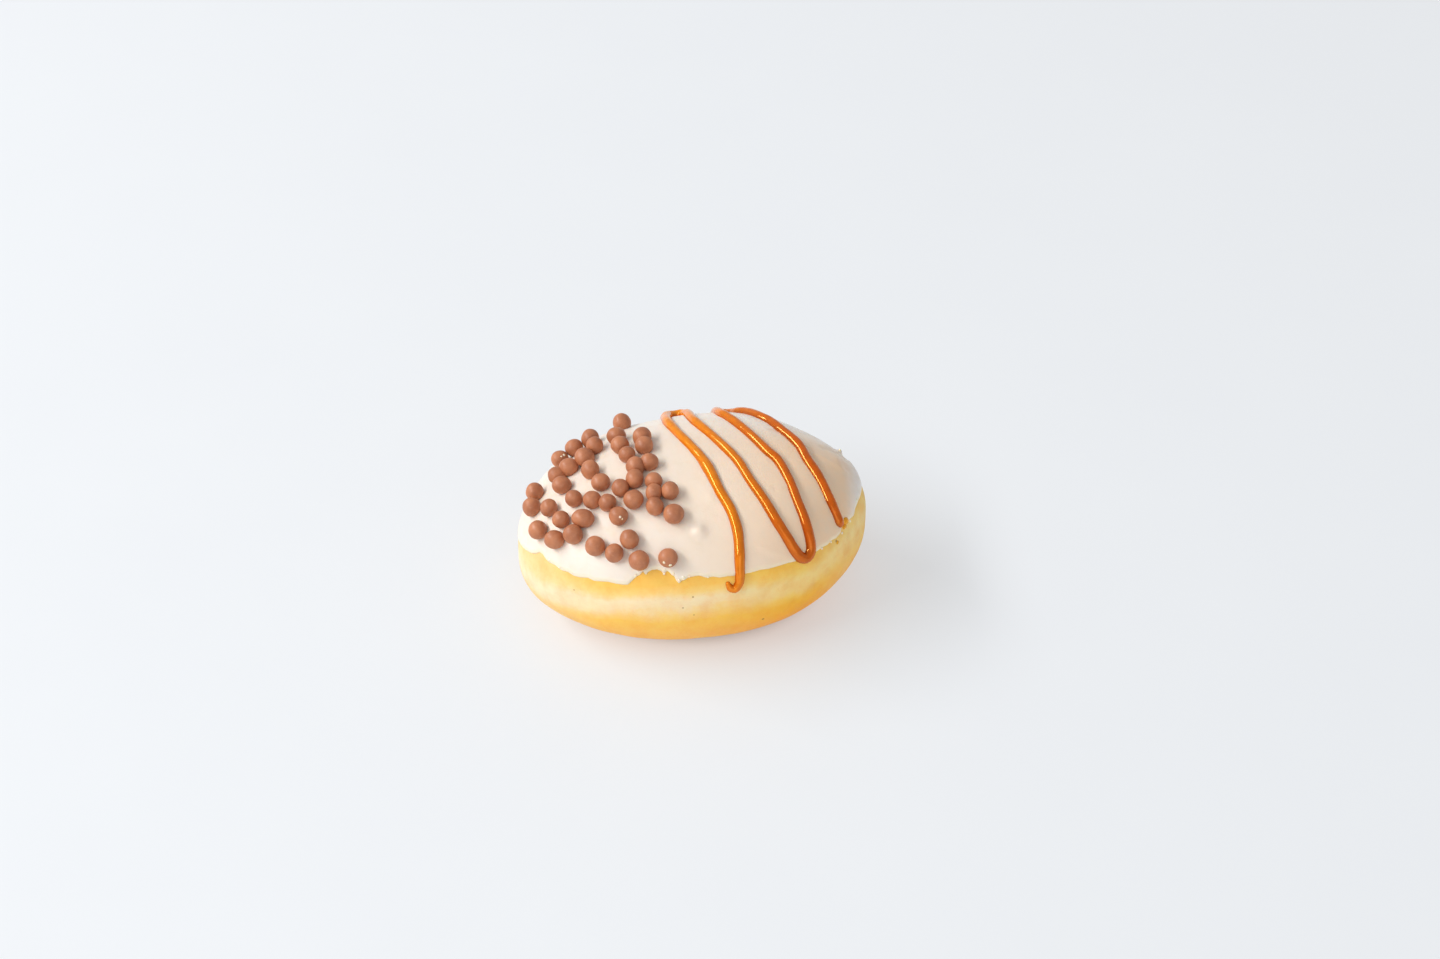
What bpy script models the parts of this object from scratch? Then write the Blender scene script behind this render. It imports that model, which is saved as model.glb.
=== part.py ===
"""A filled doughnut with no hole: a fried dough bun under a thin icing cap, which carries
chocolate pearls on its left half and one zigzag line of caramel on its right half.
Metres, +Z up. The base's middle is at the origin, the long side runs along X."""

from math import cos, radians, sin

import bmesh
import bpy
import numpy as np
from mathutils import Vector
from mathutils.bvhtree import BVHTree

MM = 0.001

# Outer form of the bun, measured over the icing where the icing covers it
HALF_LENGTH = 45.6 * MM
HALF_DEPTH = 35.0 * MM
PLAN_TURN = radians(8.0)
WAIST_HEIGHT = 19.1 * MM
CROWN_ABOVE_WAIST = 22.9 * MM
CROWN_POWER = 2.12
BASE_POWER = 3.2
# Upward slope of the waist and the crown towards the right
SLOPE = 0.064
# Where the bun's own centre lies, so that the whole part's box is centred on the origin
BUN_CENTRE = (-0.58 * MM, -0.03 * MM)

# Uneven swell of the plan: waves round the rim, share of the radius, bearing of a crest
RIM_WAVES = ((3, 0.005, -47), (4, 0.001, 136), (5, 0.009, -30), (6, 0.008, 40))
CROWN_WAVES = ((1, 0.005, -178), (2, 0.004, 74), (3, 0.012, 165), (4, 0.013, 126))

# Flat that the bun rests on
FLAT_PRESS = 2.0 * MM
FLAT_FADE = 3.0 * MM

# Icing cap: it stands a little proud near its edge, and the rows of points that make the
# rolled edge itself are a share of the way from the rim to the crown
ICING_THICKNESS = 1.5 * MM
ICING_PROUD = 0.3 * MM
ICING_GAP = 0.3 * MM
EDGE_ROLL = 0.6 * MM
EDGE_SHARE = 0.09
PROUD_SHARE = 0.2

# Shelf in the dough under the icing: its width, and the latitude of the row it starts at
SHELF_WIDTH = 1.0 * MM
SHELF_LATITUDE = radians(8.3)

# Points round the bun and the icing, and rows from bottom to top
AROUND = 60
ROWS = 18

# Chocolate pearls: how deep they sit as a share of the radius, and the usual radius
PEARL_SINK = 0.2
PEARL_RADIUS = 2.5 * MM

# Caramel line
CARAMEL_RADIUS = 1.35 * MM
CARAMEL_LIFT = 0.1 * MM
CARAMEL_LONGEST_STEP = 3.6 * MM
CARAMEL_BEND = radians(22)
CARAMEL_CLEAR = 0.4 * MM
RISE_BEFORE_EDGE = 2.8 * MM
RISE_AFTER_EDGE = 1.2 * MM

# Viewpoint from which the places on top were read: eye, seen from the bun's own centre,
# downward pitch, focal length and picture centre in pixels
EYE_FROM_BUN = (7.84 * MM, -702.28 * MM, 566.91 * MM)
PITCH = radians(37.217)
FOCAL_PIXELS = 3400.0
PICTURE_CENTRE = (720.0, 479.5)
EYE = Vector(EYE_FROM_BUN) + Vector((*BUN_CENTRE, 0))

# Icing edge in pixels, from the left end along the front to the right end
EDGE_PIXELS = (
    (517, 523), (519, 540), (526, 550), (536, 553), (543, 553), (547, 560), (562, 570),
    (580, 577), (600, 581), (616, 583), (628, 584), (636, 577), (642, 571), (650, 571),
    (660, 572), (672, 574), (678, 583), (687, 579), (700, 578), (720, 578), (745, 574),
    (760, 570), (780, 565.5), (797, 561), (818, 553), (830, 545), (840, 534), (850, 520),
    (857, 506), (858, 492),
)
# Icing edge at the back, which is out of sight: bearing in degrees and height
EDGE_BEHIND = (
    (35, 28.5 * MM), (60, 27.0 * MM), (80, 28.0 * MM), (100, 26.5 * MM), (120, 25.0 * MM),
    (140, 25.5 * MM), (160, 22.5 * MM),
)

# Pearls: centre and radius in pixels
PEARL_PIXELS = (
    (621.7, 422.8, 9.7), (590.3, 438.8, 9.8), (594.5, 446.0, 9.2), (574.0, 448.0, 9.2),
    (616.5, 436.0, 9.5), (620.0, 445.0, 9.2), (642.0, 436.5, 9.3), (643.8, 445.3, 9.5),
    (559.8, 459.2, 9.1), (584.5, 457.0, 9.8), (627.0, 454.3, 8.7), (568.5, 467.0, 9.4),
    (635.5, 466.0, 9.5), (649.5, 461.8, 9.4), (590.2, 469.5, 9.4), (556.8, 475.0, 9.2),
    (634.8, 478.8, 9.7), (562.0, 485.0, 9.6), (600.5, 482.0, 9.2), (653.5, 480.8, 9.2),
    (534.6, 492.3, 9.6), (620.3, 487.8, 9.3), (654.0, 492.8, 9.1), (670.0, 490.8, 9.6),
    (573.8, 498.3, 9.2), (592.0, 499.8, 9.0), (607.7, 502.5, 9.4), (633.4, 499.5, 9.7),
    (531.8, 507.0, 9.6), (549.0, 507.8, 9.3), (654.8, 506.2, 9.5), (618.5, 515.8, 9.6),
    (673.6, 514.0, 10.2), (561.0, 519.3, 8.8), (583.0, 518.2, 10.0), (537.8, 530.0, 10.3),
    (554.2, 539.3, 9.8), (572.8, 534.5, 10.2), (595.2, 545.8, 10.2), (614.0, 553.0, 9.9),
    (629.2, 539.0, 10.4), (639.0, 560.6, 10.3), (668.0, 558.0, 10.0),
)

# Caramel line in pixels, from the hook on the dough to the last drop. The third value is
# how many millimetres the point lies beyond the horizon of the cap.
CARAMEL_PIXELS = (
    (728.5, 585, 0), (731, 589, 0), (735.5, 589.5, 0), (739, 585, 0), (740.3, 579, 0),
    (740, 565, 0), (739.6, 550, 0), (737.5, 530, 0), (731, 510, 0), (719.5, 490, 0),
    (710, 471, 0), (701, 457, 0), (685.5, 440, 0), (675.5, 430, 0), (667.5, 421, 0),
    (664, 413, 2), (667, 410, 3.4), (672.5, 409.5, 4), (678.5, 410, 3.4), (684, 412, 2),
    (691, 417, 0),
    (700, 425, 0), (720, 442, 0), (737.5, 460, 0), (750.5, 480, 0), (764.5, 500, 0),
    (776.5, 520, 0), (789, 540, 0), (795, 550, 0), (801, 557, 0), (807, 558, 0),
    (811, 551, 0), (810.5, 540, 0), (805.3, 520, 0), (797.5, 500, 0), (789.5, 480, 0),
    (778, 460, 0), (767, 450, 0), (750, 433.5, 0), (730, 418, 0), (721, 413, 0),
    (716.5, 411, 4), (718.5, 410.5, 8.5), (726.5, 410.5, 11), (735, 410.5, 8.5), (740, 411.5, 4),
    (749, 413, 1), (760, 417.3, 0), (770, 421, 0), (780, 428, 0), (790, 436, 0),
    (800, 446, 0), (808, 460, 0), (821, 480, 0), (830.5, 500, 0), (839, 520, 0),
    (841.5, 525.5, 0),
)
# Caramel thickness along the line: share of its length, share of the full radius
CARAMEL_TAPER = ((0.0, 0.7), (0.03, 0.85), (0.1, 1.0), (0.93, 1.0), (1.0, 0.85))

DOUGH_COLOUR = (0.83, 0.56, 0.26)
ICING_COLOUR = (0.86, 0.78, 0.66)
PEARL_COLOUR = (0.33, 0.13, 0.06)
CARAMEL_COLOUR = (0.62, 0.20, 0.02)


def waves(turn, table):
    """Sum of the waves in a table, as a share of the radius."""
    return sum(size * np.cos(count * turn - radians(crest)) for count, size, crest in table)


def surface(turn, rise):
    """Point of the bun: turn is the angle round it, rise runs from -90 to 90 degrees."""
    above = rise >= 0
    power = np.where(above, CROWN_POWER, BASE_POWER)
    half_height = np.where(above, CROWN_ABOVE_WAIST, WAIST_HEIGHT)
    swell = 1 + waves(turn, RIM_WAVES) + np.clip(np.sin(rise), 0, 1) * waves(turn, CROWN_WAVES)
    reach = swell * np.abs(np.cos(rise)) ** (2 / power)
    x = HALF_LENGTH * np.cos(turn) * reach
    y = HALF_DEPTH * np.sin(turn) * reach
    z = WAIST_HEIGHT + np.sign(rise) * half_height * np.abs(np.sin(rise)) ** (2 / power)
    x, y = x * cos(PLAN_TURN) - y * sin(PLAN_TURN), x * sin(PLAN_TURN) + y * cos(PLAN_TURN)
    z = z + x * SLOPE * np.clip(z / WAIST_HEIGHT, 0, 1)
    z = np.maximum(z - FLAT_PRESS * np.exp(-((np.maximum(z, 0) / FLAT_FADE) ** 2)), 0)
    return np.stack([x + BUN_CENTRE[0], y + BUN_CENTRE[1], z], -1)


def lifted(turn, rise, lift):
    """Point at a distance outside the bun's surface, along its normal."""
    step = 1e-3
    rise_safe = np.clip(rise, -1.57, 1.57)
    along = surface(turn + step, rise_safe) - surface(turn - step, rise_safe)
    up = surface(turn, rise_safe + step) - surface(turn, rise_safe - step)
    normal = np.cross(along, up)
    normal /= np.linalg.norm(normal, axis=-1, keepdims=True) + 1e-12
    return surface(turn, rise) + normal * np.asarray(lift)[..., None]


def angles_of(point):
    """Turn and rise of a point on the upper part of the bun."""
    x, y = point[0] - BUN_CENTRE[0], point[1] - BUN_CENTRE[1]
    above = point[2] - x * SLOPE - WAIST_HEIGHT
    x, y = x * cos(PLAN_TURN) + y * sin(PLAN_TURN), y * cos(PLAN_TURN) - x * sin(PLAN_TURN)
    reach = np.hypot(x / HALF_LENGTH, y / HALF_DEPTH)
    half_height, power = (
        (CROWN_ABOVE_WAIST, CROWN_POWER) if above > 0 else (WAIST_HEIGHT, BASE_POWER)
    )
    rise = np.arctan2((abs(above) / half_height) ** (power / 2), reach ** (power / 2))
    return np.arctan2(y / HALF_DEPTH, x / HALF_LENGTH), np.copysign(rise, above)


def lifted_tree(lift):
    """Search tree of the bun's surface, raised by a distance, without its lower part."""
    turns, rises = 240, 110
    turn = np.linspace(0, 2 * np.pi, turns, endpoint=False)
    rise = np.linspace(radians(-40), radians(89.9), rises)
    points = lifted(*np.meshgrid(turn, rise, indexing="ij"), np.full((turns, rises), lift))
    index = np.arange(turns * rises).reshape(turns, rises)
    beside = np.roll(index, -1, axis=0)
    faces = np.stack([index[:, :-1], beside[:, :-1], beside[:, 1:], index[:, 1:]], -1)
    return BVHTree.FromPolygons(points.reshape(-1, 3).tolist(), faces.reshape(-1, 4).tolist())


def place(pixel, tree, beyond=0.0):
    """Point and normal where the sight line of a pixel meets the raised surface. A sight
    line that passes over the horizon takes the nearest point of it."""
    across = (pixel[0] - PICTURE_CENTRE[0]) / FOCAL_PIXELS
    up = (PICTURE_CENTRE[1] - pixel[1]) / FOCAL_PIXELS
    ahead = Vector((0, cos(PITCH), -sin(PITCH)))
    sight = Vector((1, 0, 0)) * across + Vector((0, sin(PITCH), cos(PITCH))) * up + ahead
    sight.normalize()
    point, normal, _, _ = tree.ray_cast(EYE, sight)
    if point is None:
        middle = (Vector((0, 0, WAIST_HEIGHT)) - EYE).dot(sight)
        tries = [EYE + sight * (middle + offset * MM) for offset in range(-60, 61)]
        point, normal, _, _ = min((tree.find_nearest(spot) for spot in tries), key=lambda hit: hit[3])
    if beyond:
        point, normal, _, _ = tree.find_nearest(point + Vector((0, beyond, 0)))
    return point, normal


def icing_edge():
    """Turns and rises of the icing's edge, all the way round, sorted by turn."""
    tree = lifted_tree(0.0)
    edge = [angles_of(place(pixel, tree)[0]) for pixel in EDGE_PIXELS]
    rises = np.linspace(0, radians(60), 241)
    for bearing, height in EDGE_BEHIND:
        turn = radians(bearing)
        heights = surface(np.full_like(rises, turn), rises)[:, 2]
        edge.append((turn, np.interp(height, heights, rises)))
    edge.sort()
    return np.array(edge)


EDGE = icing_edge()


def edge_rise(turn):
    """Rise of the icing's edge at a turn."""
    return np.interp(turn, EDGE[:, 0], EDGE[:, 1], period=2 * np.pi)


def ball(name):
    """A UV sphere, with the turn and the latitude of each of its vertices."""
    bpy.ops.mesh.primitive_uv_sphere_add(segments=AROUND, ring_count=ROWS, radius=1)
    made = bpy.context.object
    made.name = name
    made.data.name = name
    spots = np.array([vertex.co[:] for vertex in made.data.vertices], float)
    turn = np.arctan2(spots[:, 1], spots[:, 0])
    return made, turn, np.arcsin(np.clip(spots[:, 2], -1, 1))


def move_vertices(made, points):
    made.data.vertices.foreach_set("co", np.asarray(points, np.float32).ravel())
    made.data.update()


def material(name, colour, roughness):
    made = bpy.data.materials.new(name)
    made.use_nodes = True
    shader = made.node_tree.nodes["Principled BSDF"]
    shader.inputs["Base Color"].default_value = (*colour, 1)
    shader.inputs["Roughness"].default_value = roughness
    return made


def dough_bun():
    """The bun, with a shelf cut in under the icing so that the icing lies nearly flush."""
    made, turn, latitude = ball("dough")
    edge = edge_rise(turn)
    below = edge - SHELF_WIDTH / CROWN_ABOVE_WAIST
    share = np.clip((latitude - SHELF_LATITUDE) / (radians(90) - SHELF_LATITUDE), 0, 1)
    under_icing = edge + (radians(90) - edge) * share
    exposed = below + (radians(-90) - below) * np.clip(latitude / radians(-90), 0, 1)
    covered = latitude > SHELF_LATITUDE / 2
    rise = np.where(covered, under_icing, exposed)
    lift = np.where(covered, -(ICING_THICKNESS + ICING_GAP), 0)
    move_vertices(made, lifted(turn, rise, lift))
    made.data.materials.append(material("fried_dough", DOUGH_COLOUR, 0.6))
    return made


def icing_cap():
    """A lens-like cap: its upper half is the icing's outside, its lower half the inside."""
    made, turn, latitude = ball("icing")
    edge = edge_rise(turn)
    share = np.abs(latitude) / radians(90)
    inset = (EDGE_ROLL / CROWN_ABOVE_WAIST) * np.clip(share / EDGE_SHARE, 0, 1)
    inward = np.maximum(share - EDGE_SHARE, 0)
    rise = edge + inset + (radians(90) - edge - inset) * inward / (1 - EDGE_SHARE)
    outside = ICING_PROUD * np.exp(-inward / PROUD_SHARE)
    lift = np.where(latitude > 0, outside, -ICING_THICKNESS)
    lift = np.where(np.isclose(latitude, 0, atol=0.01), -ICING_THICKNESS / 2, lift)
    move_vertices(made, lifted(turn, rise, lift))
    made.data.materials.append(material("sugar_icing", ICING_COLOUR, 0.45))
    return made


def pearls(collection):
    """Chocolate pearls where their pixels say, each sunk a little into the icing."""
    chocolate = material("chocolate", PEARL_COLOUR, 0.45)
    tree = lifted_tree(PEARL_RADIUS * (1 - PEARL_SINK))
    for number, (across, down, size) in enumerate(PEARL_PIXELS):
        spot, _ = place((across, down), tree)
        radius = size / FOCAL_PIXELS * (EYE - spot).length
        bpy.ops.mesh.primitive_ico_sphere_add(subdivisions=2, radius=radius, location=spot)
        made = bpy.context.object
        made.name = f"pearl_{number}"
        made.rotation_euler = (number * 0.7, number * 1.1, number * 0.4)
        made.data.materials.append(chocolate)
        take_into(made, collection)


def take_into(made, collection):
    for holder in list(made.users_collection):
        holder.objects.unlink(made)
    collection.objects.link(made)


def smooth_line(points):
    """Points along a smooth curve through the given points, closer where it bends."""
    knots = np.array([2 * points[0] - points[1], *points, 2 * points[-1] - points[-2]])
    share = np.linspace(0, 1, 12, endpoint=False)[:, None]
    dense = []
    for before, start, end, after in zip(knots, knots[1:], knots[2:], knots[3:]):
        bend = 2 * before - 5 * start + 4 * end - after
        twist = 3 * start - before - 3 * end + after
        dense.extend((2 * start + (end - before) * share + bend * share**2 + twist * share**3) / 2)
    dense = [Vector(spot) for spot in (*dense, points[-1])]
    kept = [dense[0]]
    heading = dense[1] - dense[0]
    for spot, after in zip(dense[1:-1], dense[2:]):
        long = (after - kept[-1]).length > CARAMEL_LONGEST_STEP
        if long or heading.angle(after - spot) > CARAMEL_BEND:
            kept.append(spot)
            heading = after - spot
    return [*kept, dense[-1]]


def caramel_line(collection):
    """One sunk tube along the zigzag. Past the icing's edge it stands clear of the dough."""
    tree = lifted_tree(CARAMEL_LIFT)
    knots = [place(spot[:2], tree, spot[2] * MM)[0] for spot in CARAMEL_PIXELS]
    route = smooth_line([np.array(knot) for knot in knots])
    curve = bpy.data.curves.new("caramel", "CURVE")
    curve.dimensions = "3D"
    curve.bevel_depth = CARAMEL_RADIUS
    curve.bevel_resolution = 2
    curve.use_fill_caps = True
    spline = curve.splines.new("POLY")
    spline.points.add(len(route) - 1)
    for number, spot in enumerate(route):
        turn, rise = angles_of(spot)
        past = (edge_rise(turn) - rise) * CROWN_ABOVE_WAIST + RISE_BEFORE_EDGE
        stand = np.clip(past / (RISE_BEFORE_EDGE + RISE_AFTER_EDGE), 0, 1) ** 2
        taper = np.interp(number / (len(route) - 1), *zip(*CARAMEL_TAPER))
        high = CARAMEL_RADIUS * taper + CARAMEL_CLEAR
        lift = CARAMEL_LIFT + (high - CARAMEL_LIFT) * stand
        spline.points[number].co = (*lifted(turn, rise, lift), 1)
        spline.points[number].radius = taper
    guide = bpy.data.objects.new("caramel_guide", curve)
    bpy.context.scene.collection.objects.link(guide)
    tube = bpy.data.meshes.new_from_object(guide.evaluated_get(bpy.context.evaluated_depsgraph_get()))
    made = bpy.data.objects.new("caramel", tube)
    made.matrix_world = guide.matrix_world
    bpy.data.objects.remove(guide)
    weld(tube)
    tube.materials.clear()
    tube.materials.append(material("caramel", CARAMEL_COLOUR, 0.12))
    collection.objects.link(made)


def weld(mesh):
    """Closes the loose caps of a mesh made from a curve."""
    work = bmesh.new()
    work.from_mesh(mesh)
    bmesh.ops.remove_doubles(work, verts=work.verts, dist=0.00001)
    bmesh.ops.recalc_face_normals(work, faces=work.faces)
    work.to_mesh(mesh)
    work.free()


def keep_largest_body(mesh):
    """Drops what the union left inside or beside the main body: sealed hollows and scraps."""
    work = bmesh.new()
    work.from_mesh(mesh)
    waiting = set(work.verts)
    bodies = []
    while waiting:
        found = {waiting.pop()}
        to_visit = list(found)
        while to_visit:
            vertex = to_visit.pop()
            beside = {link.other_vert(vertex) for link in vertex.link_edges} & waiting
            waiting -= beside
            found |= beside
            to_visit.extend(beside)
        bodies.append(found)
    bodies.sort(key=len)
    scraps = [vertex for body in bodies[:-1] for vertex in body]
    bmesh.ops.delete(work, geom=scraps, context="VERTS")
    work.to_mesh(mesh)
    work.free()


def join_toppings(base, collection):
    """Fuses the toppings with the icing into one closed body."""
    join = base.modifiers.new("toppings", "BOOLEAN")
    join.operation = "UNION"
    join.operand_type = "COLLECTION"
    join.collection = collection
    join.material_mode = "TRANSFER"
    graph = bpy.context.evaluated_depsgraph_get()
    base.data = bpy.data.meshes.new_from_object(base.evaluated_get(graph))
    base.modifiers.clear()
    keep_largest_body(base.data)
    for topping in list(collection.objects):
        bpy.data.objects.remove(topping)
    bpy.data.collections.remove(collection)


for leftover in list(bpy.data.objects):
    bpy.data.objects.remove(leftover)
doughnut = bpy.data.collections.new("doughnut")
bpy.context.scene.collection.children.link(doughnut)
toppings = bpy.data.collections.new("toppings")
bpy.context.scene.collection.children.link(toppings)
dough = dough_bun()
icing = icing_cap()
take_into(dough, doughnut)
take_into(icing, doughnut)
pearls(toppings)
caramel_line(toppings)
join_toppings(icing, toppings)
for body in (dough, icing):
    body.data.shade_smooth()
    body.data.set_sharp_from_angle(angle=radians(50))
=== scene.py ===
"""Looks of a filled doughnut with no hole: golden fried dough, a thin satin icing cap, chocolate
pearls and a zigzag of caramel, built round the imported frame. Metres, +Z up."""

from math import cos, pi, radians, sin

import bpy
import numpy as np
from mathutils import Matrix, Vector, noise
from mathutils.bvhtree import BVHTree


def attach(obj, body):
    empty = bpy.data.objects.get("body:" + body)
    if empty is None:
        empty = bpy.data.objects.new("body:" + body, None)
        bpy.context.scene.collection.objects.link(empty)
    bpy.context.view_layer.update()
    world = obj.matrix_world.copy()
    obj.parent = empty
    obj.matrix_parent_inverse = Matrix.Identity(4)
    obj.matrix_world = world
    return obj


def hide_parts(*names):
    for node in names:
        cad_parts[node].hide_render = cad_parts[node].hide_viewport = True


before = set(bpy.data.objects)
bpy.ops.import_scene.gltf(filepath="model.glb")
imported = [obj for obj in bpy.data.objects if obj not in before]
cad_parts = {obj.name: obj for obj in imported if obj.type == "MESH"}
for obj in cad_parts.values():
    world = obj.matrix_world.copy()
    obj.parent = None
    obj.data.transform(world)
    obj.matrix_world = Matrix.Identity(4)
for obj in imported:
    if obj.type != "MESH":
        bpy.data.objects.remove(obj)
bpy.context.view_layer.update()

MM = 0.001

# Outer form of the bun, as in the solids
HALF_LENGTH = 45.6 * MM
HALF_DEPTH = 35.0 * MM
PLAN_TURN = radians(8.0)
WAIST_HEIGHT = 19.1 * MM
CROWN_ABOVE_WAIST = 22.9 * MM
CROWN_POWER = 2.12
BASE_POWER = 3.2
SLOPE = 0.064
BUN_CENTRE = (-0.58 * MM, -0.03 * MM)
RIM_WAVES = ((3, 0.005, -47), (4, 0.001, 136), (5, 0.009, -30), (6, 0.008, 40))
CROWN_WAVES = ((1, 0.005, -178), (2, 0.004, 74), (3, 0.012, 165), (4, 0.013, 126))
FLAT_PRESS = 2.0 * MM
FLAT_FADE = 3.0 * MM
# Highest rise, in radians, at which a normal is measured: just short of the pole
NEAR_POLE = 1.569

# Viewpoint of the photograph
EYE_FROM_BUN = (7.84 * MM, -702.28 * MM, 566.91 * MM)
PITCH = radians(37.217)
FOCAL_PIXELS = 3400.0
PICTURE_SIZE = (1440, 959)
PICTURE_CENTRE = (720.0, 479.5)
SENSOR_WIDTH = 36.0
EYE = Vector(EYE_FROM_BUN) + Vector((*BUN_CENTRE, 0))
PICTURE_UP = Vector((0, sin(PITCH), cos(PITCH)))
# Millimetres before and behind the bun in which a sight line's nearest point is looked for
HORIZON_SEARCH = 60

# Dough skin: points round it, rows up to the icing's edge and rows hidden under the icing, how
# deep it lies there, and the way over which it tucks in, with its rows as shares of that way
DOUGH_AROUND = 600
DOUGH_ROWS = 110
DOUGH_HIDDEN_ROWS = 14
DOUGH_UNDER_ICING = 1.9 * MM
DOUGH_TUCK = 1.4 * MM
DOUGH_TUCK_ROWS = (0.15, 0.3, 0.5, 0.75, 1.0, 1.4)
# Lumps as width and height. They fade out at the flat that the bun rests on.
DOUGH_LUMPS = ((16 * MM, 0.12 * MM), (5 * MM, 0.09 * MM), (1.6 * MM, 0.015 * MM))
DOUGH_LUMPS_FADE = 2 * MM
# Line between the browned lower band and the pale band: bearing and rise in degrees
BROWN_LINE = (
    (-162, -8.5), (-152, -9), (-143, -6.9), (-134, -5.1), (-126, -4.4), (-112, -3.0),
    (-86, -2.9), (-73, -3.9), (-65, -5.5), (-57, -6.6), (-48, -4.2), (-37, -3.6), (-21, -3.3),
    (20, -4.0), (60, -5.0), (100, -3.5), (140, -5.0),
)
# Dough colours by height over that line in degrees: tones at the left and at the right
LOWEST_BAND = -90
BAND_SPAN = 120
DOUGH_BANDS = (
    (-90, (230, 160, 70), (212, 128, 12)), (-40, (252, 184, 90), (240, 150, 14)),
    (-19, (255, 194, 98), (255, 168, 38)), (-9, (255, 200, 98), (255, 182, 46)),
    (-3, (255, 203, 96), (255, 192, 58)), (0.5, (255, 212, 130), (255, 204, 88)),
    (4, (253, 226, 178), (254, 217, 132)), (8, (253, 229, 186), (254, 221, 140)),
    (13, (253, 212, 130), (254, 212, 112)), (18, (251, 200, 98), (254, 205, 90)),
    (25, (250, 196, 90), (254, 199, 84)),
)
# Pinholes, drawn as dark spots of painted shade: pixel and radius
PINHOLES = (
    (693, 597, 0.34 * MM), (694, 615, 0.26 * MM), (683, 608, 0.3 * MM), (574, 590, 0.28 * MM),
    (763, 619, 0.5 * MM), (836, 541, 0.55 * MM),
)

# Icing coat: points round it, and rows of its top, of its rolled edge and of its inside
ICING_AROUND = 800
ICING_ROWS = 92
ROLL_ROWS = 7
INSIDE_ROWS = 9
# How far its top stands over the bun, its rolled edge starts under it, and its inside lies in
ICING_PROUD = 0.42 * MM
ROLL_START = 0.25 * MM
ICING_INSIDE = 1.0 * MM
# Width of the rolled edge, and the widths, in such rolls, over which relief fades in from the
# edge and the thicker rim sags
ICING_ROLL = 0.75 * MM
RELIEF_ROLLS = 3
SAG_ROLLS = 4
ICING_SAG = 0.12 * MM
# Lumps as width and height
ICING_LUMPS = ((18 * MM, 0.16 * MM), (7 * MM, 0.07 * MM), (2.5 * MM, 0.015 * MM))
# Icing edge in pixels, from the left end along the front to the right end
EDGE_PIXELS = (
    (517, 523), (519, 540), (526, 550), (531, 553), (536, 553.5), (540, 552), (543, 554),
    (546, 559), (549, 562), (555, 565), (562, 570.5), (568, 572), (574, 576), (580, 577.5),
    (588, 578), (594, 581), (600, 581.5), (608, 582), (616, 584), (623, 585), (628, 585),
    (633, 580), (637, 576.5), (640, 575.5), (643, 571.5), (645.5, 575.5), (648, 572.5),
    (652, 570.5), (657, 570), (661, 571.5), (664, 575), (666.5, 571.5), (669, 572.5),
    (672, 576), (674, 576.5), (676, 581), (679, 584), (682, 581), (685, 580.5), (688, 578),
    (693, 577), (699, 576), (706, 578), (713, 577), (720, 578), (728, 576.5), (736, 576),
    (745, 574), (752, 572.5), (760, 570), (768, 569), (780, 565.5), (788, 563), (797, 561),
    (806, 557), (816, 552), (822, 547.5), (827, 545.5), (831, 541), (836, 538.5), (840, 534),
    (841.5, 527), (844.5, 522.5), (850, 519.5), (853.5, 516), (855, 509), (858, 501),
    (860.5, 494), (861, 487),
)
# Icing edge at the back, which is out of sight: bearing in degrees and height
EDGE_BEHIND = (
    (35, 28.5 * MM), (60, 27.0 * MM), (80, 28.0 * MM), (100, 26.5 * MM), (120, 25.0 * MM),
    (140, 25.5 * MM), (160, 22.5 * MM),
)
# Bumps and dents in the icing: pixel, radius, height
ICING_BUMPS = (
    (699, 531, 1.7 * MM, 0.85 * MM), (694, 527, 3.5 * MM, 0.25 * MM),
    (711, 498, 1.6 * MM, 0.18 * MM), (706, 488, 2.4 * MM, 0.12 * MM),
    (781, 487, 2.0 * MM, 0.16 * MM), (640, 540, 4.0 * MM, -0.12 * MM),
    (760, 540, 5.0 * MM, 0.12 * MM), (838, 462, 2.4 * MM, 0.3 * MM),
    (842, 449, 0.8 * MM, 0.9 * MM), (846, 456, 1.0 * MM, -0.4 * MM),
    (668, 566, 1.3 * MM, 0.25 * MM), (630, 566, 1.6 * MM, 0.3 * MM),
)
# Creases in the icing: pixels of both ends, width, height
ICING_CREASES = (
    (775, 489.5, 787, 490, 0.8 * MM, -0.16 * MM), (772, 430, 787, 434, 0.8 * MM, -0.15 * MM),
    (815, 456, 846, 474, 1.2 * MM, 0.2 * MM), (822, 449, 843, 459, 0.9 * MM, -0.2 * MM),
    (755, 551, 776, 560, 0.7 * MM, -0.08 * MM), (760, 547, 786, 556, 0.6 * MM, 0.08 * MM),
    (849, 464, 858, 486, 1.3 * MM, 0.35 * MM), (843, 466, 853, 488, 1.6 * MM, -0.25 * MM),
)

# Drops: points round and from pole to pole, lumps on a ball of radius 1
DROP_SEGMENTS = 20
DROP_RINGS = 12
DROP_LUMPS = ((1.0, 0.25), (0.4, 0.06))
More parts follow.
